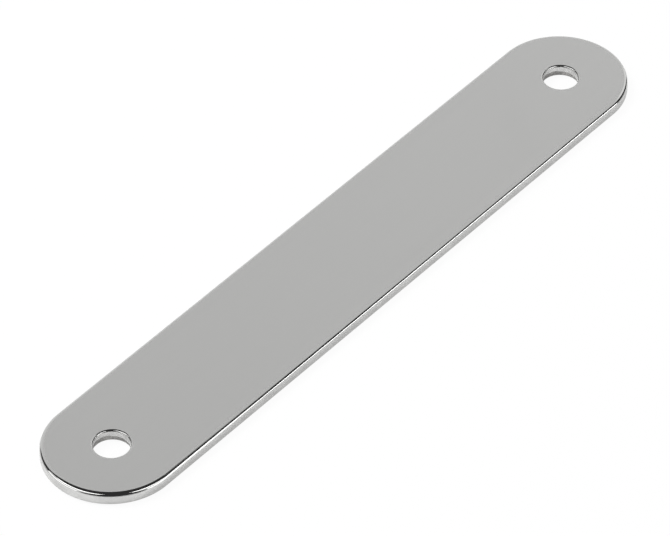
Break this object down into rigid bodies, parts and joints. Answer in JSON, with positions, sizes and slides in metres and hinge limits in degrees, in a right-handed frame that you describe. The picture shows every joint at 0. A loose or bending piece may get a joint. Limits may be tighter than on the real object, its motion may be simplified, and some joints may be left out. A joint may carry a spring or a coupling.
{
  "type": "strap tang",
  "caption": "Flat polished stainless steel strap with fully round ends and a punched pin hole centred in each end, for carrying rigging or joining members in line.",
  "frame": {"origin": "middle of the back face, halfway between the two hole centres", "axes": "+X along the strap, +Z out of the front face along both hole axes, with the strap lying on its back face"},
  "size_m": [0.152, 0.025, 0.0025],
  "materials": {
    "polished_stainless": "polished"
  },
  "bodies": {
    "root": {"strap": "polished_stainless"}
  },
  "joints": []
}
